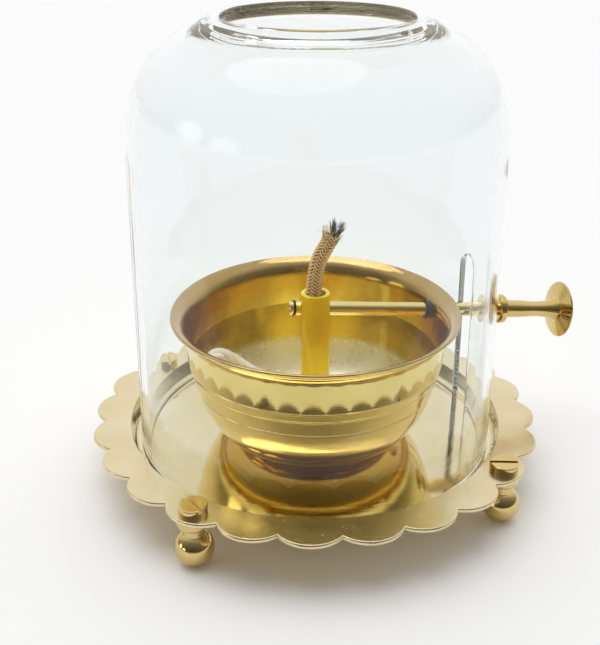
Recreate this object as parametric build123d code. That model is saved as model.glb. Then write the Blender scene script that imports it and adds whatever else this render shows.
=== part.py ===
from build123d import *
import os
from math import cos, sin, pi, radians, sqrt, tan

# Oil lamp with a glass chimney, in millimetres.
# The origin is on the table, on the lamp's upright axis. +X follows the adjuster rod outwards, +Z is up.

# Plate
plate_top = 18.3
plate_sheet = 1.5
scallop_count = 24
scallop_notch_radius = 70.0
scallop_tip_radius = 74.0
dish_edge_radius = 61.7
dish_floor_radius = 60.2
dish_floor_top = 12.8
dish_bend = 1.4
dish_wall = 1.1
plate_edge_round = 0.5

# Feet and their screws
foot_circle_radius = 68.0
foot_angles = {"back_right": 45, "back_left": 135, "front_left": 225, "front_right": 315}
slot_angles = {"back_right": 20, "back_left": 100, "front_left": 292, "front_right": 345}
foot_ball_radius = 6.0
foot_flat_radius = 1.5
foot_collar_radius = 5.1
foot_collar_height = 3.4
foot_collar_round = 1.3
foot_neck_radius = 3.3
screw_head_diameter = 8.8
screw_head_height = 2.4
screw_head_round = 0.4
screw_shank_diameter = 5.0
screw_point_chamfer = 0.5
screw_hole_diameter = 5.2
screw_slot_width = 1.2
screw_slot_depth = 1.1
foot_screw_length = 10.5

# Oil bowl
bowl_wall = 1.2
bowl_floor = 1.5
bowl_foot_radius = 26.0
bowl_foot_way = (1.0, 0.46)
bowl_inner_foot_way = (1.0, 0.3)
bowl_belly = [(33.8, 19.4), (37.6, 26.4), (39.4, 32.2), (40.85, 37.7)]
bowl_belly_lean = 17.3
bowl_wall_foot = (41.8, 40.8)
bowl_wall_lean = 5.4
bowl_flare_height = 50.75
bowl_flare_radius = 5.7
bowl_flare_turn = 66.0
bowl_line_round = 0.5
bowl_line_depths = {"deep": 0.35, "light": 0.2}

# Wick tube and what holds it down
tube_diameter = 9.5
tube_bore = 6.6
tube_top = 62.2
tube_lip_round = 0.45
seal_diameter = 14.0
seal_thickness = 1.0
tube_foot_diameter = 14.0
tube_foot_flange = 2.0
tube_foot_chamfer = 0.5
tube_foot_spigot = 3.5
tail_window_height = 6.4
tail_window_width = 6.0
washer_diameter = 12.0
washer_thickness = 1.0
centre_screw_length = 8.5
thread_end_room = 0.6

# Adjuster rod, its wheel and its knob, measured along the rod from the tube
rod_diameter = 4.7
rod_behind_tube = 5.0
rod_height_at_tube = 54.4
rod_fall_angle = 6.2
rod_inner_end = -8.0
rod_outer_end = 80.0
rod_end_chamfer = 0.4
rod_groove_start = -6.6
rod_groove_width = 0.8
rod_groove_diameter = 3.6
ring_diameter = 5.3
ring_gap = 1.4
ring_room = 0.03
running_clearance = 0.05
push_clearance = 0.02
thread_clearance = 0.1
rod_room = 0.35
wheel_tip_radius = 3.3
wheel_root_radius = 2.75
wheel_teeth = 14
wheel_width = 2.4
wheel_room = 0.7
bracket_inner_end = -3.0
bracket_outer_end = 4.8
bracket_front = 1.5
bracket_back = 8.8
bracket_half_height = 4.4
bracket_back_round = 3.4
bracket_slot_height = 6.2
grommet_diameter = 6.2
grommet_start = 39.8
grommet_length = 4.6
grommet_round = 0.25
knob_start = 66.0
knob_collar_diameter = 10.0
knob_collar_length = 2.9
knob_collar_round = 0.9
knob_neck_diameter = 6.3
knob_waist_diameter = 5.8
knob_waist_at = 0.4
knob_root_diameter = 9.0
knob_root_length = 3.0
knob_neck_way = (-0.1, 1.0)
knob_root_way = (1.0, 0.8)
knob_flange_diameter = 18.6
knob_flange_start = 90.2
knob_flange_rim = 0.7
knob_flange_cone = 1.1
knob_dome = 0.7
knob_bore_end = 81.0

# Glass chimney
glass_wall = 2.5
glass_foot_radius = 58.4
glass_foot_round = 0.8
glass_wall_top = (57.2, 104.0)
glass_shoulder = [(56.7, 113.0), (55.3, 125.2), (51.6, 133.5), (45.8, 139.8), (39.0, 144.1), (33.0, 147.0)]
glass_rim_radius = 29.2
glass_mouth_radius = 28.0
glass_mouth_round = 1.1
glass_mouth_foot = 145.4
glass_collar_foot = (33.4, 143.5)
glass_collar_way = (1.0, -0.25)
glass_top = 148.2
glass_slot_width = 9.0
glass_slot_top = 68.2
glass_slot_round = 0.7

# Wick
wick_diameter = 5.4
wick_foot = 41.0
wick_bend_start = 71.0
wick_bend_radius = 20
wick_tip = (4.1, -1.0, 84.0)
wick_flat_depth = 1.35
wick_flat_low = 38.0
wick_flat_high = 68.0
tail_diameter = 5.2
tail_height_in_tube = 24.2
tail_exit_angle = 118

# The loose end of the wick, from the window in the tube over a hump on the bowl's wall to the floor
tail_route = [
    (-0.5, 0.9, tail_height_in_tube),
    (-4.0, 7.5, tail_height_in_tube),
    (-9.5, 13.6, 24.6),
    (-16.8, 18.0, 26.6),
    (-22.2, 19.2, 29.5),
    (-27.2, 18.4, 32.5),
    (-31.3, 15.6, 34.3),
    (-33.9, 11.2, 34.4),
    (-34.7, 5.6, 33.2),
    (-33.8, -2.2, 31.0),
    (-30.6, -10.4, 28.0),
    (-24.6, -17.2, 24.8),
    (-16.0, -21.6, 21.5),
    (-6.4, -23.6, 19.0),
    (3.4, -22.8, 17.9),
    (12.0, -18.8, 17.4),
]
tail_bend_share = 0.45

# Heights and radii that follow from the sizes above, and room for cuts to pass right through
through = 1.0
long_cut = 40.0
inwards = (-1, 0)
downwards = (0, -1)
plate_bottom = plate_top - plate_sheet
dish_floor_bottom = dish_floor_top - plate_sheet
bowl_floor_top = dish_floor_top + bowl_floor
seal_top = bowl_floor_top + seal_thickness
tube_bottom = seal_top + tube_foot_flange
foot_ball_centre = sqrt(foot_ball_radius ** 2 - foot_flat_radius ** 2)
rod_radius = rod_diameter / 2
wheel_slot = wheel_width + 2 * wheel_room
fall = radians(rod_fall_angle)
rod_plane = Plane(
    origin=(0, rod_behind_tube, rod_height_at_tube),
    x_dir=(0, 1, 0),
    z_dir=(cos(fall), 0, -sin(fall)),
)


def polar(radius, degrees):
    """A point in the plan view."""
    return (radius * cos(radians(degrees)), radius * sin(radians(degrees)))


def turned(points):
    """A solid turned about Z from (radius, height) corners."""
    return revolve(make_face(Plane.XZ * Polyline(*points, close=True)), Axis.Z)


def turned_outline(edges):
    """A solid turned about Z from a closed outline drawn in (radius, height)."""
    return revolve(make_face(Plane.XZ * Wire(edges)), Axis.Z)


def disc(diameter, low, high):
    """A round plug on the lamp's axis."""
    plug = Cylinder(diameter / 2, high - low)
    return Pos(0, 0, (low + high) / 2) * plug


def along_rod(solid):
    """Moves a solid drawn along Z onto the rod's own axis."""
    return rod_plane.location * solid


def quarter_round(start, end, centre):
    """A quarter circle from start to end about centre, in (radius, height)."""
    radius = sqrt((start[0] - centre[0]) ** 2 + (start[1] - centre[1]) ** 2)
    middle = ((start[0] + end[0]) / 2 - centre[0], (start[1] + end[1]) / 2 - centre[1])
    reach = radius / sqrt(middle[0] ** 2 + middle[1] ** 2)
    return ThreePointArc(start, (centre[0] + middle[0] * reach, centre[1] + middle[1] * reach), end)


def offset_point(before, point, after, distance):
    """The point moved square to the line between its neighbours, to the left of the way they run."""
    run = (after[0] - before[0], after[1] - before[1])
    length = sqrt(run[0] ** 2 + run[1] ** 2)
    return (point[0] - run[1] / length * distance, point[1] + run[0] / length * distance)


def inner_points(points, distance):
    """The same curve drawn a wall's thickness further in."""
    ends = [points[0]] + list(points) + [points[-1]]
    return [offset_point(ends[k], ends[k + 1], ends[k + 2], distance) for k in range(len(points))]


def slotted_screw(length):
    """A cheese-head screw with its head above z = 0 and its slot along X."""
    head = Pos(0, 0, screw_head_height / 2) * Cylinder(screw_head_diameter / 2, screw_head_height)
    head = fillet(head.edges().group_by(Axis.Z)[-1], screw_head_round)
    slot = Box(screw_head_diameter * 2, screw_slot_width, screw_slot_depth * 2)
    slot = Pos(0, 0, screw_head_height) * slot
    shank = Pos(0, 0, -length / 2) * Cylinder(screw_shank_diameter / 2, length)
    shank = chamfer(shank.edges().group_by(Axis.Z)[0], screw_point_chamfer)
    return head - slot + shank


def base_plate():
    """A scalloped sheet pressed down into a dish, drilled for the feet and the centre screw."""
    pitch = 360 / scallop_count
    arcs = []
    for k in range(scallop_count):
        start = polar(scallop_notch_radius, (k - 0.5) * pitch)
        tip = polar(scallop_tip_radius, k * pitch)
        end = polar(scallop_notch_radius, (k + 0.5) * pitch)
        arcs.append(ThreePointArc(start, tip, end))
    sheet = Pos(0, 0, plate_bottom) * extrude(make_face(Wire(arcs)), plate_sheet)
    rim_edges = sheet.edges().filter_by(GeomType.CIRCLE)
    sheet = fillet(rim_edges, plate_edge_round)
    lean = dish_edge_radius - dish_floor_radius
    cavity = turned([
        (0, dish_floor_top),
        (dish_floor_radius, dish_floor_top),
        (dish_edge_radius, plate_top),
        (dish_edge_radius + lean, plate_top + plate_sheet),
        (0, plate_top + plate_sheet),
    ])
    shell = turned([
        (0, dish_floor_bottom),
        (dish_floor_radius + dish_wall, dish_floor_bottom),
        (dish_edge_radius + dish_wall, plate_bottom),
        (dish_edge_radius + dish_wall, plate_top),
        (0, plate_top),
    ])
    shell = fillet(shell.edges().group_by(Axis.Z)[0], dish_bend + plate_sheet)
    cavity = fillet(cavity.edges().group_by(Axis.Z)[0], dish_bend)
    plate = sheet + shell - cavity
    for angle in foot_angles.values():
        x, y = polar(foot_circle_radius, angle)
        plate -= Pos(x, y, plate_top) * Cylinder(screw_hole_diameter / 2, plate_sheet * 4)
    return plate - disc(screw_hole_diameter, dish_floor_bottom - through, dish_floor_top + through)


def foot():
    """A turned foot: a collar rounded below, a short neck, and a ball with a small flat under it."""
    collar_foot = plate_bottom - foot_collar_height
    collar = disc(foot_collar_radius * 2, collar_foot, plate_bottom)
    collar = fillet(collar.edges().group_by(Axis.Z)[0], foot_collar_round)
    neck = disc(foot_neck_radius * 2, foot_ball_centre, collar_foot)
    ball = Pos(0, 0, foot_ball_centre) * Sphere(foot_ball_radius)
    below = disc(foot_ball_radius * 4, -foot_ball_radius, 0)
    thread = disc(screw_shank_diameter + thread_clearance, plate_bottom - foot_screw_length, plate_top)
    return collar + neck + ball - below - thread


def oil_bowl():
    """A spun bowl: a round belly, a steeper wall, a flared rim, three turned lines and the rod's hole."""
    lean = radians(bowl_wall_lean)
    rise = (sin(lean), cos(lean))
    belly_rise = (sin(radians(bowl_belly_lean)), cos(radians(bowl_belly_lean)))
    wall_height = bowl_flare_height - bowl_wall_foot[1]
    flare_foot = (bowl_wall_foot[0] + wall_height * tan(lean), bowl_flare_height)
    belly = [(bowl_foot_radius, dish_floor_top)] + bowl_belly + [bowl_wall_foot]
    inner_belly = inner_points(belly, bowl_wall)
    inner_belly[0] = (bowl_foot_radius - bowl_wall, bowl_floor_top)
    inner_belly[-1] = offset_point((0, 0), bowl_wall_foot, rise, bowl_wall)
    inner_flare_foot = offset_point((0, 0), flare_foot, rise, bowl_wall)
    outer_flare = JernArc(flare_foot, rise, bowl_flare_radius, -bowl_flare_turn)
    inner_flare = JernArc(inner_flare_foot, rise, bowl_flare_radius + bowl_wall, -bowl_flare_turn)
    out = outer_flare % 1
    rim_middle = (outer_flare @ 1 + inner_flare @ 1) / 2 + out * (bowl_wall / 2)
    bowl = turned_outline([
        Spline(*belly, tangents=[bowl_foot_way, belly_rise]),
        Line(bowl_wall_foot, flare_foot),
        outer_flare,
        ThreePointArc(outer_flare @ 1, rim_middle, inner_flare @ 1),
        inner_flare,
        Line(inner_flare_foot, inner_belly[-1]),
        Spline(*inner_belly, tangents=[bowl_inner_foot_way, belly_rise]),
        Line(inner_belly[0], (0, bowl_floor_top)),
        Line((0, bowl_floor_top), (0, dish_floor_top)),
        Line((0, dish_floor_top), belly[0]),
    ])
    lines = ((bowl_wall_foot, "deep"), (bowl_belly[-1], "light"), (bowl_belly[-2], "light"))
    for place, depth in lines:
        groove_radius = place[0] + bowl_line_round - bowl_line_depths[depth]
        bowl -= Pos(0, 0, place[1]) * Torus(groove_radius, bowl_line_round)
    hole = Cylinder(grommet_diameter / 2 + push_clearance, long_cut / 2)
    bowl -= along_rod(Pos(0, 0, grommet_start + grommet_length / 2) * hole)
    return bowl - disc(screw_hole_diameter, dish_floor_top - through, bowl_floor_top + through)


def wick_tube():
    """The upright tube, with a window behind for the feed wheel and one at its foot for the wick's tail."""
    tube = disc(tube_diameter, tube_bottom, tube_top)
    tube -= disc(tube_bore, tube_bottom - through, tube_top + through)
    tube = fillet(tube.edges().group_by(Axis.Z)[-1], tube_lip_round)
    window_height = 2 * (wheel_tip_radius + wheel_room)
    behind = Box(wheel_slot, tube_diameter, window_height)
    behind = Pos(0, tube_diameter / 2, rod_height_at_tube) * behind
    tail_window = Box(tube_diameter, tail_window_width, tail_window_height)
    tail_window = Pos(tube_diameter / 2, 0, tail_height_in_tube) * tail_window
    tail_window = Rot(0, 0, tail_exit_angle) * tail_window
    tube -= along_rod(Cylinder(rod_radius + rod_room, long_cut))
    return tube - behind - tail_window


def tube_foot():
    """The plug under the tube, tapped from below for the centre screw."""
    flange = disc(tube_foot_diameter, seal_top, tube_bottom)
    flange = chamfer(flange.edges().group_by(Axis.Z)[-1], tube_foot_chamfer)
    spigot = disc(tube_bore - thread_clearance, tube_bottom, tube_bottom + tube_foot_spigot)
    thread_top = dish_floor_bottom - washer_thickness + centre_screw_length + thread_end_room
    return flange + spigot - disc(screw_shank_diameter + thread_clearance, seal_top - through, thread_top)


def washer(diameter, low, high):
    """A flat ring round the centre screw."""
    return disc(diameter, low, high) - disc(screw_hole_diameter, low - through, high + through)


def centre_screw():
    """The screw from below, its head under the plate."""
    head_seat = dish_floor_bottom - washer_thickness
    return Pos(0, 0, head_seat) * (Rot(180, 0, 0) * slotted_screw(centre_screw_length))


def adjuster_rod():
    """The plain rod, with a groove for the ring near its inner end."""
    groove_end = rod_groove_start + rod_groove_width
    rod = turned([
        (0, rod_inner_end),
        (rod_radius - rod_end_chamfer, rod_inner_end),
        (rod_radius, rod_inner_end + rod_end_chamfer),
        (rod_radius, rod_groove_start),
        (rod_groove_diameter / 2, rod_groove_start),
        (rod_groove_diameter / 2, groove_end),
        (rod_radius, groove_end),
        (rod_radius, rod_outer_end),
        (0, rod_outer_end),
    ])
    return along_rod(rod)


def rod_retaining_ring():
    """A split ring that sits in the rod's groove."""
    groove_end = rod_groove_start + rod_groove_width
    ring = disc(ring_diameter, rod_groove_start + ring_room, groove_end - ring_room)
    ring -= disc(rod_groove_diameter + 2 * ring_room, rod_groove_start - through, groove_end + through)
    opening = Box(ring_diameter, ring_gap, 4 * rod_groove_width)
    return along_rod(ring - Pos(ring_diameter / 2, 0, rod_groove_start) * opening)


def feed_wheel():
    """A ring of pointed teeth fixed on the rod beside the wick."""
    points = []
    for k in range(wheel_teeth):
        points.append(polar(wheel_tip_radius, 360 * k / wheel_teeth))
        points.append(polar(wheel_root_radius, 360 * (k + 0.5) / wheel_teeth))
    wheel = extrude(make_face(Polyline(*points, close=True)), wheel_width / 2, both=True)
    return along_rod(wheel - Cylinder(rod_radius + push_clearance, wheel_width * 2))


def rod_bracket():
    """A saddle behind the tube, bored for the rod, with a thin inner cheek and a thick outer one."""
    block = Box(
        bracket_outer_end - bracket_inner_end,
        bracket_back - bracket_front,
        2 * bracket_half_height,
        align=(Align.MIN, Align.MIN, Align.CENTER),
    )
    block = Pos(bracket_inner_end, bracket_front, rod_height_at_tube) * block
    block = fillet(block.edges().filter_by(Axis.X).group_by(Axis.Y)[-1], bracket_back_round)
    block -= disc(tube_diameter + 2 * push_clearance, tube_bottom, tube_top)
    between_cheeks = Box(wheel_slot, 4 * bracket_back, bracket_slot_height)
    block -= Pos(0, bracket_back / 2, rod_height_at_tube) * between_cheeks
    block -= along_rod(Cylinder(wheel_tip_radius + wheel_room, wheel_slot))
    return block - along_rod(Cylinder(rod_radius + running_clearance, long_cut))


def rod_grommet():
    """A dark sleeve in the bowl's wall that the rod turns in."""
    sleeve = Pos(0, 0, grommet_start + grommet_length / 2) * Cylinder(grommet_diameter / 2, grommet_length)
    sleeve = fillet(sleeve.edges(), grommet_round)
    return along_rod(sleeve - Cylinder(rod_radius + running_clearance, 4 * grommet_start))


def knob():
    """A turned knob: a rounded collar, a waisted neck that swells at its root, and a thin domed flange."""
    collar_radius = knob_collar_diameter / 2
    collar_end = knob_start + knob_collar_length
    collar_side = collar_radius - knob_collar_round
    side_start = knob_start + knob_collar_round
    side_end = collar_end - knob_collar_round
    neck_radius = knob_neck_diameter / 2
    flange_radius = knob_flange_diameter / 2
    flange_back = knob_flange_start - knob_flange_rim / 2
    rim_end = knob_flange_start + knob_flange_rim / 2
    root_end = flange_back - knob_flange_cone
    root_start = root_end - knob_root_length
    waist = collar_end + (root_start - collar_end) * knob_waist_at
    dome_top = rim_end + knob_dome
    dome_radius = (flange_radius ** 2 + knob_dome ** 2) / (2 * knob_dome)
    dome_middle = dome_top - dome_radius + sqrt(dome_radius ** 2 - flange_radius ** 2 / 4)
    bore_radius = rod_radius + ring_room
    body = turned_outline([
        Line((bore_radius, knob_start), (collar_side, knob_start)),
        quarter_round((collar_side, knob_start), (collar_radius, side_start), (collar_side, side_start)),
        Line((collar_radius, side_start), (collar_radius, side_end)),
        quarter_round((collar_radius, side_end), (collar_side, collar_end), (collar_side, side_end)),
        Line((collar_side, collar_end), (neck_radius, collar_end)),
        Spline(
            (neck_radius, collar_end),
            (knob_waist_diameter / 2, waist),
            (neck_radius, root_start),
            (knob_root_diameter / 2, root_end),
            tangents=[knob_neck_way, knob_root_way],
        ),
        Line((knob_root_diameter / 2, root_end), (flange_radius, flange_back)),
        ThreePointArc(
            (flange_radius, flange_back),
            (flange_radius + knob_flange_rim / 2, knob_flange_start),
            (flange_radius, rim_end),
        ),
        ThreePointArc(
            (flange_radius, rim_end),
            (flange_radius / 2, dome_middle),
            (0, dome_top),
        ),
        Line((0, dome_top), (0, knob_bore_end)),
        Line((0, knob_bore_end), (bore_radius, knob_bore_end)),
        Line((bore_radius, knob_bore_end), (bore_radius, knob_start)),
    ])
    return along_rod(body)


def glass_chimney():
    """A blown cover: a tapered wall, a dome up to a thick round mouth, and a slot for the rod."""
    rim = (glass_rim_radius, glass_top)
    mouth_edge = (glass_mouth_radius, glass_top - glass_mouth_round)
    mouth_foot = (glass_mouth_radius, glass_mouth_foot)
    rim_edge = (glass_mouth_radius + glass_mouth_round, glass_top)
    outside = [glass_wall_top] + glass_shoulder + [rim]
    inside = inner_points([glass_wall_top] + glass_shoulder[:-1], glass_wall) + [glass_collar_foot]
    foot_inner = glass_foot_radius - glass_wall
    foot_top = dish_floor_top + glass_foot_round
    foot_end = glass_foot_radius - glass_foot_round
    foot_start = foot_inner + glass_foot_round
    wall_height = glass_wall_top[1] - foot_top
    outer_rise = (glass_wall_top[0] - glass_foot_radius, wall_height)
    inner_fall = (foot_inner - inside[0][0], -wall_height)
    walls = turned_outline([
        Line((foot_start, dish_floor_top), (foot_end, dish_floor_top)),
        quarter_round((foot_end, dish_floor_top), (glass_foot_radius, foot_top), (foot_end, foot_top)),
        Line((glass_foot_radius, foot_top), glass_wall_top),
        Spline(*outside, tangents=[outer_rise, inwards]),
        Line(rim, rim_edge),
        quarter_round(rim_edge, mouth_edge, (rim_edge[0], mouth_edge[1])),
        Line(mouth_edge, mouth_foot),
        Spline(mouth_foot, glass_collar_foot, tangents=[downwards, glass_collar_way]),
        Spline(*inside[::-1], tangents=[glass_collar_way, inner_fall]),
        Line(inside[0], (foot_inner, foot_top)),
        quarter_round((foot_inner, foot_top), (foot_start, dish_floor_top), (foot_start, foot_top)),
    ])
    slot_radius = glass_slot_width / 2
    arch_height = glass_slot_top - slot_radius
    sides = Pos(glass_foot_radius, rod_behind_tube, arch_height / 2)
    arch = Pos(glass_foot_radius, rod_behind_tube, arch_height) * Rot(0, 90, 0)
    slot = sides * Box(long_cut, glass_slot_width, arch_height) + arch * Cylinder(slot_radius, long_cut)
    half_turn = 180
    cover = Rot(0, 0, half_turn) * walls - slot
    slot_side = cover.edges().filter_by_position(Axis.X, glass_foot_radius / 2, glass_foot_radius)
    slot_edges = slot_side.filter_by(lambda edge: glass_slot_width < edge.length < glass_slot_top)
    return fillet(slot_edges, glass_slot_round)


def wick():
    """The standing length of the wick, leaning at its tip, pressed flat where the wheel runs along it."""
    path = FilletPolyline((0, 0, wick_foot), (0, 0, wick_bend_start), wick_tip, radius=wick_bend_radius)
    cord = sweep(Plane(origin=(0, 0, wick_foot), z_dir=(0, 0, 1)) * Circle(wick_diameter / 2), path)
    flat_height = wick_flat_high - wick_flat_low
    pressed = Pos(0, wick_flat_depth + wick_diameter / 2, wick_flat_low + flat_height / 2)
    return cord - pressed * Box(wick_diameter * 2, wick_diameter, flat_height)


def corner_radii(points):
    """The largest even bend that the two runs at each corner leave room for."""
    radii = []
    for k in range(1, len(points) - 1):
        before = Vector(points[k]) - Vector(points[k - 1])
        after = Vector(points[k + 1]) - Vector(points[k])
        half_turn = radians(before.get_angle(after)) / 2
        radii.append(tail_bend_share * min(before.length, after.length) / tan(half_turn))
    return radii


def wick_tail():
    """The loose end of the wick, a limp cord. Its standing length goes on from it inside the tube."""
    radii = corner_radii(tail_route)
    path = FilletPolyline(*tail_route, radius=radii)
    start = Plane(origin=tail_route[0], z_dir=path % 0)
    cord = sweep(start * Circle(tail_diameter / 2), path)
    expected = path.length * pi * tail_diameter ** 2 / 4
    print("wick tail bends", [round(r, 1) for r in radii])
    print("wick tail length", round(path.length, 1))
    print("wick tail volume", round(cord.volume, 1), "of", round(expected, 1))
    return cord


def lamp():
    """Every piece of the lamp by name."""
    pieces = {"base_plate": base_plate()}
    for place, angle in foot_angles.items():
        x, y = polar(foot_circle_radius, angle)
        pieces["foot_" + place] = Pos(x, y, 0) * foot()
        screw = Rot(0, 0, slot_angles[place]) * slotted_screw(foot_screw_length)
        pieces["foot_screw_" + place] = Pos(x, y, plate_top) * screw
    pieces["oil_bowl"] = oil_bowl()
    pieces["bowl_seal"] = washer(seal_diameter, bowl_floor_top, seal_top)
    pieces["tube_foot"] = tube_foot()
    pieces["wick_tube"] = wick_tube()
    washer_low = dish_floor_bottom - washer_thickness
    pieces["centre_washer"] = washer(washer_diameter, washer_low, dish_floor_bottom)
    pieces["centre_screw"] = centre_screw()
    pieces["rod_bracket"] = rod_bracket()
    pieces["rod_grommet"] = rod_grommet()
    pieces["adjuster_rod"] = adjuster_rod()
    pieces["rod_retaining_ring"] = rod_retaining_ring()
    pieces["feed_wheel"] = feed_wheel()
    pieces["knob"] = knob()
    pieces["glass_chimney"] = glass_chimney()
    pieces["wick"] = wick()
    pieces["wick_tail"] = wick_tail()
    return pieces


os.makedirs("parts", exist_ok=True)
for name, piece in lamp().items():
    export_step(piece, os.path.join("parts", name + ".step"))
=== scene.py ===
import math
import random

import bpy
from mathutils import Matrix, Vector


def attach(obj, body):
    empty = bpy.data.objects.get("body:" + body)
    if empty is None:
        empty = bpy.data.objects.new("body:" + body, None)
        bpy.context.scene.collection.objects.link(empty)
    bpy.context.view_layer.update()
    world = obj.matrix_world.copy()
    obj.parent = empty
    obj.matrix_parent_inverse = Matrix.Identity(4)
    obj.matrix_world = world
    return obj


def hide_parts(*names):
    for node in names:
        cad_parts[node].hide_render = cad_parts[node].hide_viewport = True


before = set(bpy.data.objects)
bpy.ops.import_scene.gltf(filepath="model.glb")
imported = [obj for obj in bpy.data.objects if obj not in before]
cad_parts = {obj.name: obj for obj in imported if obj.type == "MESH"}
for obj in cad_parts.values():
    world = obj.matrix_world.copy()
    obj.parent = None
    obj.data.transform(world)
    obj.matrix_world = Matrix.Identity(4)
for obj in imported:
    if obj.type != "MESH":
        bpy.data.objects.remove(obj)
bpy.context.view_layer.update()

chance = random.Random(11)
mm = 0.001
full_turn = 2 * math.pi
upright = Vector((0, 0, 1))

# Camera at the photograph's viewing angle, in metres
camera_place = Vector((-0.0723, -0.2846, 0.1881))
camera_look = Vector((0.2082, 0.8820, -0.4229))
camera_roll = math.radians(0.10)
camera_lens = 55.37
camera_near = 0.01

# Level ways ahead of the camera and to its right
view_forward = Vector((0.2297, 0.9733, 0.0))
view_right = Vector((0.9733, -0.2297, 0.0))

# The adjuster rod's own axis
rod_fall = math.radians(6.2)
rod_way = Vector((math.cos(rod_fall), 0.0, -math.sin(rod_fall)))

# Standing wick, in millimetres: its line, its core, and the flat that the feed wheel runs along
wick_radius = 2.7
wick_line = [
    (0.0, 0.0, 41.0), (-0.1, 0.0, 50.0), (-0.5, 0.0, 57.0), (-0.55, 0.0, 62.5),
    (-0.1, 0.0, 67.0), (0.45, 0.0, 71.5), (1.9, -0.35, 75.5), (3.9, -0.7, 79.0), (4.9, -0.85, 81.5),
]
wick_line_steps = 16
wick_step = 0.2
core_depth = 0.6
core_sides = 14
core_flat_depth = 0.3
wick_flat = 1.35
wick_flat_low = 38.0
wick_flat_high = 68.0

# Braid of the wick: columns round the cord, and one stitch's sizes in millimetres
braid_columns = 8
stitch_spacing = 1.15
stitch_rise = 1.75
stitch_width = 0.62
stitch_thick = 0.72
stitch_dive = 0.62

# A stitch's reach past each side of its column, its taper and its spread of sizes, as shares
stitch_overlap = 0.09
stitch_taper = 0.35
stitch_swell = 0.08

# Rings along a stitch, and sides round it
stitch_samples = 7
stitch_sides = 8

# Loose tail of the wick: the route of its line, in millimetres, and its length in metres
tail_radius = 2.6
tail_route = [
    (-0.5, 0.9, 24.2), (-4.0, 7.5, 23.8), (-9.5, 13.6, 23.0), (-16.8, 18.2, 24.6),
    (-22.2, 19.6, 28.6), (-27.0, 18.8, 33.0), (-31.0, 15.9, 35.4), (-33.7, 11.2, 35.4),
    (-34.7, 5.6, 33.4), (-33.8, -2.2, 31.0), (-30.6, -10.4, 28.0), (-24.6, -17.2, 24.8),
    (-16.0, -21.6, 21.5), (-6.4, -23.6, 19.0), (3.4, -22.8, 17.9), (12.0, -18.8, 17.4),
]
tail_line_steps = 12
tail_step = 0.25

# Plies of the tail: how many, and one ply's radius, twist and swelling, in millimetres
plies = 5
ply_radius = 1.4
ply_twist = 26.0
ply_sides = 14
ply_swell = 0.05
ply_swell_length = 2.3
ply_swell_shift = 2.1

# A single loose fibre
hair_rings = 5
hair_sides = 3
hair_taper = 0.7

# Fuzz: how many fibres, how far along the cord they start, and one fibre's sizes, in millimetres
wick_fuzz = {"count": 200, "start": 31.5, "shortest": 0.25, "longest": 0.7, "thick": 0.035}
tail_fuzz = {"count": 2600, "start": 12.0, "shortest": 0.4, "longest": 1.1, "thick": 0.05}
fuzz_root_depth = 0.15
fuzz_spread = 0.8
fuzz_least_lift = 0.2
fuzz_droop = 0.6

# Loosened strands at the wick's end: how many, how they spread, and their sizes in millimetres
crown_count = 150
crown_bare_share = 0.15
crown_root_least = 0.6
crown_root_most = 2.2
crown_spread = 0.3
crown_shortest = 1.2
crown_longest = 2.9
crown_thick = 0.3

# Charred bundles at the wick's end, in millimetres: root across, way across, way up and length of each
char_bundles = ((0.1, 0.12, 1.0, 4.6), (1.5, 0.6, 0.85, 4.2))
bundle_count = 34
bundle_width = 1.7
bundle_inner = 0.3
bundle_spread = 0.12
bundle_shortest = 0.72
bundle_thick = 0.42

# Stray charred hairs, in millimetres: way across, way up and length of each
stray_hairs = ((-1.0, 0.55, 4.4), (0.9, 0.4, 3.4), (0.95, -0.1, 3.6), (0.85, -0.5, 3.0))
stray_root = 1.0
stray_droop = 0.2
stray_thick = 0.12

# Brass: its clear coat, and noise scales and depths, in metres, of what shows on it
brass_coat = 0.3
brass_coat_rough = 0.05
tone_scale = 60.0
smudge_scale = 130.0
dent_scale = 85.0
dent_strength = 0.05
dent_depth = 0.001
lathe_scale = 1900.0
lathe_strength = 0.10
lathe_depth = 0.0001

# Noise values between which brass goes from its dark tone to its light one, and from clean to smudged
tone_limits = (0.35, 0.65)
smudge_limits = (0.35, 0.75)

# Roughness of brass, as shares of its gloss, where it is clean and where it is smudged
clean_share = 0.7
smudged_share = 1.7

# Where the bowl's pale floor (painted light) ends, where its lip flares and where the plate's flange
# starts, in metres
bowl_pale_height = 0.0275
bowl_pale_edge = 0.0025
bowl_lip_height = 0.0507
bowl_lip_edge = 0.0015
plate_flange_radius = 0.0612
plate_flange_edge = 0.0008

# Limits of how far a surface faces out from the axis, or up, between which the bowl's inner roughness, its
# painted reflection, its lip tint and its painted pale floor come in
inner_rough_limits = (-0.8, -0.5)
inner_gold_limits = (-0.95, -0.75)
faces_up_limits = (0.05, 0.25)

# Inside the bowl: a deeper gold on the inner wall as a painted reflection, a browner tint where the lip
# faces up, and a paler, rougher, less metallic floor whose pale colour is painted light
painted_reflection_gold = (0.98, 0.93, 0.35)
lip_brown = (0.60, 0.51, 0.58)
painted_light_floor_colour = (0.93, 0.86, 0.58)
floor_metallic = 0.7
floor_extra_rough = 0.12

# Noise values between which fibres, and dark surfaces, go from their dark tone to their light one
strand_limits = (0.32, 0.66)
mottle_limits = (0.3, 0.7)

# Darkest spots of a mottled dark surface, and its spread of roughness, as shares
mottle_dark_share = 0.55
mottle_rough_spread = 0.2

# Floor and the dark card in front of the view, a painted dark reflection, in metres
floor_half = 5.0
card_near = 0.125
card_far = 1.6
card_half = 1.4
card_height = 0.001

# Soft overhead light
sun_strength = 1.06
sun_angle = math.radians(50.0)
sun_way = Vector((0.1, -0.15, -1.0))

# Brightness of the room, by how nearly a direction points behind and above the lamp, from -1 to 1
room_stops = [(-0.6, 0.07), (0.0, 0.20), (0.25, 0.34), (0.5, 0.80), (0.75, 1.0)]

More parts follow.
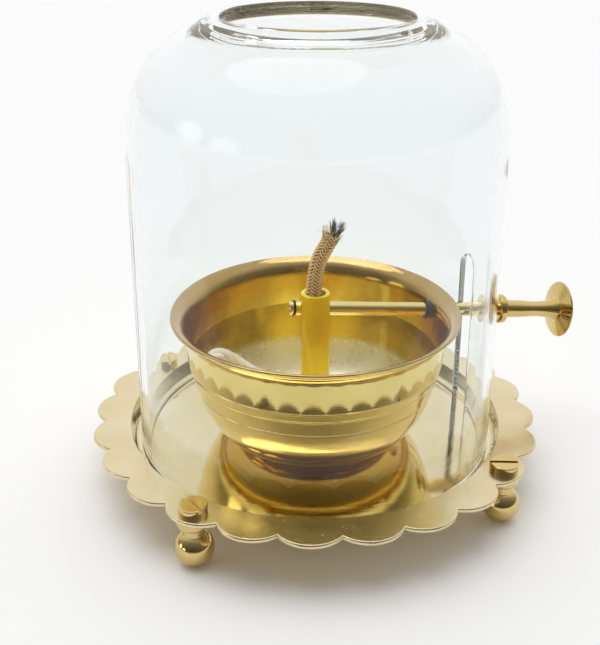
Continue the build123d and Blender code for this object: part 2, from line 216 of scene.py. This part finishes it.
# Windows: ways ahead, across and up, and brightness by how nearly a direction points at one
window_ways = ((-0.17, -0.97, 0.12), (-0.57, -0.82, 0.02))
window_stops = [(0.984, 0.0), (0.990, 1.0)]

# Light bounces enough for a glass edge or a polished bowl to pass on what it reflects
deep_bounces = 160


def make_camera():
    data = bpy.data.cameras.new("camera")
    data.lens = camera_lens
    data.clip_start = camera_near
    camera = bpy.data.objects.new("camera", data)
    bpy.context.scene.collection.objects.link(camera)
    turn = camera_look.to_track_quat("-Z", "Y").to_matrix().to_4x4()
    camera.matrix_world = Matrix.Translation(camera_place) @ turn @ Matrix.Rotation(camera_roll, 4, "Z")
    bpy.context.scene.camera = camera


# Lines and meshes
def spline_points(points_mm, steps):
    """Points, in metres, read along the smooth NURBS line that has these control points."""
    data = bpy.data.curves.new("line", "CURVE")
    data.dimensions = "3D"
    data.resolution_u = steps
    spline = data.splines.new("NURBS")
    spline.points.add(len(points_mm) - 1)
    for point, place in zip(spline.points, points_mm):
        point.co = (place[0] * mm, place[1] * mm, place[2] * mm, 1.0)
    spline.order_u = 3
    spline.use_endpoint_u = True
    line = bpy.data.objects.new("line", data)
    bpy.context.scene.collection.objects.link(line)
    bpy.context.view_layer.update()
    mesh = bpy.data.meshes.new_from_object(line)
    points = [v.co.copy() for v in mesh.vertices]
    bpy.data.objects.remove(line)
    bpy.data.meshes.remove(mesh)
    bpy.data.curves.remove(data)
    return points


def even_points(points, step):
    """The same line with points at an even spacing."""
    out = [points[0].copy()]
    left = step
    for a, b in zip(points, points[1:]):
        run = (b - a).length
        at = 0.0
        while run - at >= left:
            at += left
            out.append(a.lerp(b, at / run))
            left = step
        left -= run - at
    return out


class Line:
    """A line with a frame carried along it without twist, asked for by distance from its start."""

    end_margin = 0.001

    def __init__(self, points, step, first_side):
        self.step = step
        self.points = even_points(points, step)
        self.last = len(self.points) - 1
        self.length = step * self.last
        self.frames = []
        side = first_side
        for i in range(len(self.points)):
            along = (self.points[min(i + 1, self.last)] - self.points[max(i - 1, 0)]).normalized()
            side = (side - along * side.dot(along)).normalized()
            self.frames.append((along, side, along.cross(side)))

    def at(self, distance):
        """The point at a distance, just short of the end at most, and the frame there."""
        place = min(max(distance / self.step, 0.0), self.last - self.end_margin)
        i = int(place)
        point = self.points[i].lerp(self.points[i + 1], place - i)
        return point, self.frames[i]

    def on_skin(self, distance, turn, radius):
        """A point at a radius round the line, and the way out from the line there."""
        point, (along, side, third) = self.at(distance)
        out = side * math.cos(turn) + third * math.sin(turn)
        return point + out * radius, out


class MeshData:
    """Corners and faces gathered for one piece."""

    def __init__(self):
        self.verts = []
        self.faces = []

    def tube(self, places, outs, widths, thicks, sides):
        """A closed strand of oval section along some places, its flat side facing out."""
        start = len(self.verts)
        last = len(places) - 1
        for i, place in enumerate(places):
            along = (places[min(i + 1, last)] - places[max(i - 1, 0)]).normalized()
            out = (outs[i] - along * outs[i].dot(along)).normalized()
            across = along.cross(out)
            for k in range(sides):
                turn = full_turn * k / sides
                across_by = widths[i] / 2 * math.cos(turn)
                out_by = thicks[i] / 2 * math.sin(turn)
                self.verts.append(place + across * across_by + out * out_by)
        for i in range(last):
            for k in range(sides):
                a = start + i * sides + k
                b = start + i * sides + (k + 1) % sides
                self.faces.append((a, b, b + sides, a + sides))
        self.faces.append(tuple(start + k for k in reversed(range(sides))))
        self.faces.append(tuple(start + last * sides + k for k in range(sides)))

    def piece(self, name, material):
        """The gathered mesh as an object of the scene."""
        mesh = bpy.data.meshes.new(name)
        mesh.from_pydata([tuple(v) for v in self.verts], [], self.faces)
        mesh.validate()
        mesh.shade_smooth()
        mesh.materials.append(material)
        piece = bpy.data.objects.new(name, mesh)
        bpy.context.scene.collection.objects.link(piece)
        return piece


def add_core(data, line, radius):
    """The plain core of a cord, under its stitches."""
    outs = [side for along, side, third in line.frames]
    size = [2 * radius] * len(line.points)
    data.tube(line.points, outs, size, size, core_sides)


def add_braid(data, line, radius):
    """Slanted stitches in columns round a line, every other column slanted the other way."""
    turn_step = full_turn / braid_columns
    count = int(line.length / (stitch_spacing * mm))
    for column in range(braid_columns):
        rising = column % 2 == 0
        stagger = 0.0 if rising else 0.5
        for k in range(count):
            low = (k + stagger) * stitch_spacing * mm
            swell = chance.uniform(1 - stitch_swell, 1 + stitch_swell)
            places = []
            outs = []
            widths = []
            thicks = []
            for i in range(stitch_samples):
                t = i / (stitch_samples - 1)
                turn = turn_step * (column - stitch_overlap + (1 + 2 * stitch_overlap) * t)
                share = t if rising else 1 - t
                edge = (2 * t - 1) ** 2
                depth = radius - stitch_thick * mm / 2 - stitch_dive * mm * edge
                place, out = line.on_skin(low + share * stitch_rise * mm, turn, depth)
                places.append(place)
                outs.append(out)
                widths.append(stitch_width * mm * swell * (1 - stitch_taper * edge))
                thicks.append(stitch_thick * mm * swell)
            data.tube(places, outs, widths, thicks, stitch_sides)


def add_plies(data, line, radius):
    """Soft plies twisted round a line, which swell and thin a little along their length."""
    for ply in range(plies):
        places = []
        outs = []
        sizes = []
        for i in range(len(line.points)):
            distance = line.step * i
            turn = full_turn * (ply / plies + distance / (ply_twist * mm))
            place, out = line.on_skin(distance, turn, radius - ply_radius * mm)
            places.append(place)
            outs.append(out)
            swell = 1 + ply_swell * math.sin(ply * ply_swell_shift + distance / (ply_swell_length * mm))
            sizes.append(2 * ply_radius * mm * swell)
        data.tube(places, outs, sizes, sizes, ply_sides)


def add_hair(data, root, way, length, droop, thick):
    """A thin fibre that starts one way and bends over another."""
    places = []
    sizes = []
    for i in range(hair_rings):
        t = i / (hair_rings - 1)
        places.append(root + way * (length * t) + droop * (length * t * t))
        sizes.append(thick * (1 - hair_taper * t))
    side = way.orthogonal()
    data.tube(places, [side] * hair_rings, sizes, sizes, hair_sides)


def any_way():
    """A seeded direction, even over the ball."""
    z = chance.uniform(-1, 1)
    turn = chance.uniform(0, full_turn)
    flat = math.sqrt(1 - z * z)
    return Vector((flat * math.cos(turn), flat * math.sin(turn), z))


def add_fuzz(data, line, radius, count, start, shortest, longest, thick):
    """Loose fibres that stand off a cord's skin from a distance along it to its end."""
    for _ in range(count):
        distance = chance.uniform(start * mm, line.length)
        turn = chance.uniform(0, full_turn)
        root, out = line.on_skin(distance, turn, radius - fuzz_root_depth * mm)
        way = (out + any_way() * fuzz_spread).normalized()
        if way.dot(out) < fuzz_least_lift:
            continue
        length = chance.uniform(shortest * mm, longest * mm)
        add_hair(data, root, way, length, any_way() * fuzz_droop, thick * mm)


def add_bundle(data, root, way, length):
    """Charred fibres that leave one place together and part a little towards their ends."""
    for _ in range(bundle_count):
        aside = any_way()
        start = root + aside * (bundle_width * mm / 2 * chance.uniform(bundle_inner, 1.0))
        lean = (way + aside * bundle_spread).normalized()
        own_length = length * chance.uniform(bundle_shortest, 1.0)
        add_hair(data, start, lean, own_length, any_way() * bundle_spread, bundle_thick * mm)


def add_crown(data, line, radius):
    """The loosened ends of a cord's strands."""
    along = line.frames[-1][0]
    for _ in range(crown_count):
        reach = radius * math.sqrt(chance.uniform(crown_bare_share, 1.0))
        distance = line.length - chance.uniform(crown_root_least, crown_root_most) * mm
        root, out = line.on_skin(distance, chance.uniform(0, full_turn), reach)
        way = (along + out * crown_spread + any_way() * crown_spread).normalized()
        length = chance.uniform(crown_shortest, crown_longest) * mm
        add_hair(data, root, way, length, any_way() * crown_spread, crown_thick * mm)


# Materials
class Nodes:
    """The nodes of a material or of the world, with a method for each kind that is used here."""

    def __init__(self, owner):
        owner.use_nodes = True
        self.tree = owner.node_tree

    def feed(self, node, values):
        """Link or set a node's inputs, by name or number. A colour is given without its opacity."""
        for key, value in values.items():
            socket = node.inputs[key]
            if isinstance(value, bpy.types.NodeSocket):
                self.tree.links.new(value, socket)
            elif socket.type == "RGBA":
                socket.default_value = (*value, 1)
            else:
                socket.default_value = value

    def add(self, kind, values, **settings):
        node = self.tree.nodes.new("ShaderNode" + kind)
        for name, value in settings.items():
            setattr(node, name, value)
        self.feed(node, values)
        return node

    def place(self):
        """Where a point is in the lamp's own frame."""
        return self.add("TexCoord", {}).outputs["Object"]

    def noise(self, vector, scale, detail, rough=0.5):
        values = {"Vector": vector, "Scale": scale, "Detail": detail, "Roughness": rough}
        return self.add("TexNoise", values).outputs["Fac"]

    def ramp(self, value, stops):
        """A colour that runs through some stops as a value goes from 0 to 1."""
        node = self.add("ValToRGB", {"Fac": value})
        points = node.color_ramp.elements
        while len(points) < len(stops):
            points.new(0.5)
        for point, (at, colour) in zip(points, stops):
            point.position = at
            point.color = (*colour, 1)
        return node.outputs["Color"]

    def two_tone(self, value, limits, dark, light):
        """A dark colour below two limits, a light one above them and a blend in between."""
        low, high = limits
        return self.ramp(value, [(low, dark), (high, light)])

    def ranged(self, value, low, high, to_low, to_high):
        """A value that goes from one number to another as its source goes from low to high."""
        values = {"Value": value, "From Min": low, "From Max": high, "To Min": to_low, "To Max": to_high}
        return self.add("MapRange", values).outputs["Result"]

    def bump(self, height, strength, distance, before=None):
        """A surface's facing with small heights added, on top of an earlier bump if there is one."""
        values = {"Height": height, "Strength": strength, "Distance": distance}
        if before is not None:
            values["Normal"] = before
        return self.add("Bump", values).outputs["Normal"]

    def worked(self, operation, a, b):
        """The result of one operation on two values."""
        return self.add("Math", {0: a, 1: b}, operation=operation).outputs["Value"]

    def mixed(self, kind, a, b, factor=1.0):
        """Two colours mixed as far as the factor says."""
        values = {"A": a, "B": b, "Factor": factor}
        return self.add("Mix", values, data_type="RGBA", blend_type=kind).outputs["Result"]

    def along(self, vector, way):
        """How far a vector goes along a way."""
        return self.add("VectorMath", {0: vector, 1: way}, operation="DOT_PRODUCT").outputs["Value"]

    def level_part(self, place):
        """A place measured level from the lamp's axis."""
        return self.add("VectorMath", {0: place, 1: (1, 1, 0)}, operation="MULTIPLY").outputs["Vector"]

    def axis_distance(self, place):
        """How far a point is from the lamp's axis."""
        return self.add("VectorMath", {0: self.level_part(place)}, operation="LENGTH").outputs["Value"]

    def facing_out(self, place, facing):
        """How much a surface faces away from the lamp's axis, from -1 to 1."""
        away = self.add("VectorMath", {0: self.level_part(place)}, operation="NORMALIZE")
        return self.along(away.outputs["Vector"], facing)

    def lathe_vector(self, place, way):
        """Where a point is along a turned piece's axis and, on an upright piece, out from it."""
        values = {"X": self.along(place, way)}
        if way == upright:
            values["Y"] = self.axis_distance(place)
        return self.add("CombineXYZ", values).outputs["Vector"]


def new_material(name):
    material = bpy.data.materials.new(name)
    nodes = Nodes(material)
    return material, nodes, nodes.tree.nodes["Principled BSDF"]


def bowl_inside_painted_light(nodes, place, metal, shine, metallic, inside):
    """Colour, roughness and metal share of the bowl's inner side: rougher, with a painted reflection of
    deeper gold on the wall, a browner lip and a painted pale floor.
    """
    facing = nodes.add("NewGeometry", {}).outputs["Normal"]
    outward = nodes.facing_out(place, facing)
    shine = nodes.worked("MULTIPLY", shine, nodes.ranged(outward, *inner_rough_limits, inside, 1.0))
    # Painted reflection: a deeper gold on the inner wall, for the gold that the bowl reflects of itself
    wall = nodes.ranged(outward, *inner_gold_limits, 1.0, 0.0)
    metal = nodes.mixed("MULTIPLY", metal, painted_reflection_gold, wall)
    height = nodes.along(place, upright)
    faces_up = nodes.ranged(nodes.along(facing, upright), *faces_up_limits, 0.0, 1.0)
    # A browner tint where the lip faces up
    upper = nodes.ranged(height, bowl_lip_height, bowl_lip_height + bowl_lip_edge, 0.0, 1.0)
    lip = nodes.worked("MULTIPLY", upper, faces_up)
    metal = nodes.mixed("MULTIPLY", metal, lip_brown, lip)
    # Painted light: a paler, rougher, less metallic floor, for the light lying on the bowl's floor
    lower = nodes.ranged(height, bowl_pale_height, bowl_pale_height + bowl_pale_edge, 1.0, 0.0)
    floor = nodes.worked("MULTIPLY", lower, faces_up)
    metal = nodes.mixed("MIX", metal, painted_light_floor_colour, floor)
    shine = nodes.worked("ADD", shine, nodes.ranged(floor, 0.0, 1.0, 0.0, floor_extra_rough))
    return metal, shine, nodes.ranged(floor, 0.0, 1.0, metallic, floor_metallic)


def brass_material(
    name, light, dark, gloss, lathe_way=upright, metallic=1.0, brushed=0.0, inside=1.0, satin=0.0,
):
    """Polished, lacquered brass: two tones, smudges, shallow dents and lathe lines.

    gloss is its roughness, and lathe_way is the axis that it was turned on. brushed stretches its
    reflections along the lamp's axis. inside is how many times rougher the bowl is where it faces the
    axis. satin is how much rougher the plate's flange is.
    """
    material, nodes, shader = new_material(name)
    nodes.feed(shader, {
        "Metallic": metallic,
        "Coat Weight": brass_coat,
        "Coat Roughness": brass_coat_rough,
    })
    place = nodes.place()
    tone = nodes.noise(place, tone_scale, detail=5.0)
    metal = nodes.two_tone(tone, tone_limits, dark, light)
    smudge = nodes.noise(place, smudge_scale, detail=8.0, rough=0.65)
    shine = nodes.ranged(smudge, *smudge_limits, gloss * clean_share, gloss * smudged_share)
    if brushed:
        round_axis = nodes.add("Tangent", {}, direction_type="RADIAL", axis="Z")
        nodes.feed(shader, {
            "Tangent": round_axis.outputs["Tangent"],
            "Anisotropic": brushed,
            "Anisotropic Rotation": 0.25,
        })
    # The bowl's inner side: rougher, with a painted reflection, a lip tint and a painted pale floor
    if inside != 1.0:
        metal, shine, metallic = bowl_inside_painted_light(nodes, place, metal, shine, metallic, inside)
    if satin:
        reach = nodes.axis_distance(place)
        flange_end = plate_flange_radius + plate_flange_edge
        flange = nodes.ranged(reach, plate_flange_radius, flange_end, 0.0, satin)
        shine = nodes.worked("ADD", shine, flange)
    dents = nodes.noise(place, dent_scale, detail=2.0)
    bent = nodes.bump(dents, dent_strength, dent_depth)
    lathe = nodes.noise(nodes.lathe_vector(place, lathe_way), lathe_scale, detail=3.0)
    lined = nodes.bump(lathe, lathe_strength, lathe_depth, bent)
    nodes.feed(shader, {"Base Color": metal, "Roughness": shine, "Metallic": metallic, "Normal": lined})
    return material


def glass_material():
    """Clear blown glass with a faint cool tint and a slight waviness."""
    material, nodes, shader = new_material("clear_blown_glass")
    wave = nodes.noise(nodes.place(), scale=26.0, detail=1.0)
    nodes.feed(shader, {
        "Base Color": (0.95, 0.975, 0.973),
        "Transmission Weight": 1.0,
        "Roughness": 0.0,
        "IOR": 1.42,
        "Specular Tint": (0.5, 0.5, 0.5),
        "Normal": nodes.bump(wave, strength=0.05, distance=0.001),
    })
    return material


def fibre_material(name, light, dark, scale, sheen=0.0):
    """Spun fibres: a matt, slightly fuzzy surface that varies from strand to strand."""
    material, nodes, shader = new_material(name)
    strands = nodes.noise(nodes.place(), scale, detail=6.0)
    nodes.feed(shader, {
        "Base Color": nodes.two_tone(strands, strand_limits, dark, light),
        "Roughness": 0.9,
        "Sheen Weight": sheen,
        "Normal": nodes.bump(strands, strength=0.5, distance=0.0002),
    })
    return material


def dark_material(name, colour, rough, metallic=0.0):
    """Rubber, blackened steel or card, with fine mottling."""
    material, nodes, shader = new_material(name)
    mottle = nodes.noise(nodes.place(), scale=900.0, detail=3.0)
    deep = [c * mottle_dark_share for c in colour]
    least = rough * (1 - mottle_rough_spread)
    most = rough * (1 + mottle_rough_spread)
    nodes.feed(shader, {
        "Base Color": nodes.two_tone(mottle, mottle_limits, deep, colour),
        "Metallic": metallic,
        "Roughness": nodes.ranged(mottle, *mottle_limits, least, most),
    })
    return material


make_camera()

plate_brass = brass_material(
    "brass_plate", light=(0.79, 0.68, 0.44), dark=(0.74, 0.61, 0.36), gloss=0.07, satin=0.17,
)
bowl_brass = brass_material(
    "brass_bowl", light=(0.86, 0.68, 0.25), dark=(0.80, 0.61, 0.19), gloss=0.045, brushed=0.85, inside=3.6,
)
# The tube is a mostly matt, saturated yellow: a painted reflection of the bright gold round it
tube_brass_painted_reflection = brass_material(
    "brass_tube", light=(1.0, 0.80, 0.01), dark=(0.98, 0.75, 0.01), gloss=0.10, metallic=0.3,
)
small_brass = brass_material(
    "brass_small_parts", light=(0.74, 0.57, 0.25), dark=(0.66, 0.49, 0.18), gloss=0.08,
)
rod_brass = brass_material(
    "brass_rod", light=(0.88, 0.70, 0.30), dark=(0.83, 0.63, 0.23), gloss=0.09, lathe_way=rod_way,
)
knob_brass = brass_material(
    "brass_knob", light=(0.69, 0.51, 0.19), dark=(0.62, 0.44, 0.14), gloss=0.09, lathe_way=rod_way,
)
glass = glass_material()
cotton_tan = fibre_material(
    "braided_cotton_tan", light=(1.0, 0.74, 0.38), dark=(0.84, 0.56, 0.25), scale=900.0, sheen=0.05,
)
# The core is near black: painted shade in the gaps between the stitches
cotton_core_painted_shade = fibre_material(
    "cotton_core_painted_shade", light=(0.10, 0.05, 0.02), dark=(0.05, 0.025, 0.01), scale=900.0,
)
cotton_frayed = fibre_material(
    "frayed_cotton", light=(0.84, 0.64, 0.36), dark=(0.58, 0.38, 0.17), scale=900.0, sheen=0.1,
)
cotton_pale = fibre_material(
    "cotton_pale", light=(0.97, 0.94, 0.87), dark=(0.93, 0.88, 0.78), scale=500.0, sheen=0.2,
)
cotton_char = fibre_material(
    "charred_cotton", light=(0.42, 0.36, 0.29), dark=(0.10, 0.08, 0.065), scale=1400.0,
)
rubber = dark_material("dark_rubber_ring", colour=(0.035, 0.033, 0.03), rough=0.5)
steel = dark_material("blackened_steel", colour=(0.06, 0.06, 0.06), rough=0.35, metallic=1.0)
fibre_board = fibre_material(
    "fibre_washer", light=(0.36, 0.17, 0.09), dark=(0.25, 0.10, 0.05), scale=700.0,
)

finishes = {
    "base_plate": plate_brass,
    "oil_bowl": bowl_brass,
    "tube_foot": bowl_brass,
    "wick_tube": tube_brass_painted_reflection,
    "adjuster_rod": rod_brass,
    "feed_wheel": rod_brass,
    "knob": knob_brass,
    "glass_chimney": glass,
    "rod_grommet": rubber,
    "rod_retaining_ring": steel,
    "bowl_seal": fibre_board,
}
for name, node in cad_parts.items():
    node.data.materials.clear()
    node.data.materials.append(finishes.get(name, small_brass))


# Wick and its tail
def make_tail():
    """The wick's loose tail, lying in the bowl."""
    points = spline_points(tail_route, tail_line_steps)
    line = Line(points, tail_step * mm, upright)
    data = MeshData()
    add_plies(data, line, tail_radius * mm)
    tail = data.piece("wick_tail_plies", cotton_pale)
    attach(tail, "lamp_base")
    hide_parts("wick_tail")
    fuzz = MeshData()
    add_fuzz(fuzz, line, tail_radius * mm, **tail_fuzz)
    fuzz = fuzz.piece("wick_tail_fuzz", cotton_pale)
    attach(fuzz, "lamp_base")


def across_view(way_across, way_up):
    """A direction in the photograph's view, as a share across and a share up."""
    return (view_right * way_across + upright * way_up).normalized()


def make_wick():
    """The standing wick: its braid, fuzz and frayed, charred end."""
    points = spline_points(wick_line, wick_line_steps)
    line = Line(points, wick_step * mm, Vector((1, 0, 0)))
    core = MeshData()
    add_core(core, line, (wick_radius - core_depth) * mm)
    braid = MeshData()
    add_braid(braid, line, wick_radius * mm)
    for data, flat in ((core, wick_flat - core_flat_depth), (braid, wick_flat)):
        for v in data.verts:
            if wick_flat_low * mm < v.z < wick_flat_high * mm:
                v.y = min(v.y, flat * mm)
    wick = braid.piece("wick_braid", cotton_tan)
    inside = core.piece("wick_core", cotton_core_painted_shade)
    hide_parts("wick")
    fuzz = MeshData()
    add_fuzz(fuzz, line, wick_radius * mm, **wick_fuzz)
    add_crown(fuzz, line, wick_radius * mm)
    fuzz = fuzz.piece("wick_fuzz", cotton_frayed)
    char = MeshData()
    tip = line.points[-1]
    for root_across, way_across, way_up, length in char_bundles:
        root = tip + view_right * (root_across * mm)
        add_bundle(char, root, across_view(way_across, way_up), length * mm)
    for way_across, way_up, length in stray_hairs:
        way = across_view(way_across, way_up)
        root = tip + way * (stray_root * mm)
        add_hair(char, root, way, length * mm, any_way() * stray_droop, stray_thick * mm)
    char = char.piece("wick_charred_end", cotton_char)
    for piece in (wick, inside, fuzz, char):
        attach(piece, "wick_feed")


make_tail()
make_wick()


# Floor, light and surroundings
def make_sheet(name, corners, material):
    """A flat sheet of the surroundings, which isn't part of the lamp."""
    mesh = bpy.data.meshes.new(name)
    mesh.from_pydata(corners, [], [(0, 1, 2, 3)])
    mesh.materials.append(material)
    sheet = bpy.data.objects.new(name, mesh)
    bpy.context.scene.collection.objects.link(sheet)
    return sheet


def make_floor():
    material, nodes, shader = new_material("pale_floor")
    nodes.feed(shader, {"Base Color": (0.95, 0.95, 0.95), "Roughness": 0.9, "Specular IOR Level": 0.1})
    corners = []
    for x, y in ((-1, -1), (1, -1), (1, 1), (-1, 1)):
        corners.append((x * floor_half, y * floor_half, 0))
    make_sheet("floor", corners, material)


def make_painted_reflection_card():
    """A dark card on the floor in front of the view, which only reflections show: a painted dark
    reflection.
    """
    material = dark_material("painted_reflection_card", colour=(0.30, 0.18, 0.03), rough=0.9)
    corners = []
    for across, back in ((-1, card_far), (1, card_far), (1, card_near), (-1, card_near)):
        corners.append(view_right * (across * card_half) - view_forward * back + upright * card_height)
    card = make_sheet("painted_reflection_card", corners, material)
    card.visible_camera = False
    card.visible_diffuse = False
    card.visible_transmission = False
    card.visible_shadow = False


def make_sun():
    """A wide, soft light from above, left out of reflections."""
    data = bpy.data.lights.new("overhead", "SUN")
    data.energy = sun_strength
    data.angle = sun_angle
    light = bpy.data.objects.new("overhead", data)
    light.visible_glossy = False
    bpy.context.scene.collection.objects.link(light)
    light.matrix_world = sun_way.to_track_quat("-Z", "Y").to_matrix().to_4x4()


def make_world():
    """A room that is bright above and behind, dark behind the camera, and white to the camera itself.

    Two small windows at the left are about twice as bright as its brightest wall.
    """
    world = bpy.data.worlds.new("studio")
    bpy.context.scene.world = world
    nodes = Nodes(world)
    place = nodes.add("TexCoord", {}).outputs["Generated"]

    def shade(way, stops):
        """Brightness by how nearly a direction points a given way."""
        nearness = nodes.ranged(nodes.along(place, way.normalized()), -1.0, 1.0, 0.0, 1.0)
        return nodes.ramp(nearness, [((at + 1) / 2, (level, level, level)) for at, level in stops])

    light = shade(view_forward + upright, room_stops)
    for ahead, across, up in window_ways:
        window = shade(view_forward * ahead + view_right * across + upright * up, window_stops)
        light = nodes.mixed("ADD", light, nodes.mixed("ADD", window, window))
    room = nodes.tree.nodes["Background"]
    nodes.feed(room, {"Color": light, "Strength": 1.0})
    white = nodes.add("Background", {"Color": (1, 1, 1)})
    pick = nodes.add("MixShader", {
        "Fac": nodes.add("LightPath", {}).outputs["Is Camera Ray"],
        1: room.outputs["Background"],
        2: white.outputs["Background"],
    })
    nodes.feed(nodes.tree.nodes["World Output"], {"Surface": pick.outputs["Shader"]})


make_floor()
make_painted_reflection_card()
make_sun()
make_world()
bpy.context.scene.view_settings.view_transform = "Standard"

# Reflections stay sharp, and light goes deep into the glass and the bowl
light_paths = bpy.context.scene.cycles
light_paths.blur_glossy = 0.0
light_paths.max_bounces = deep_bounces
light_paths.glossy_bounces = deep_bounces
light_paths.transmission_bounces = deep_bounces
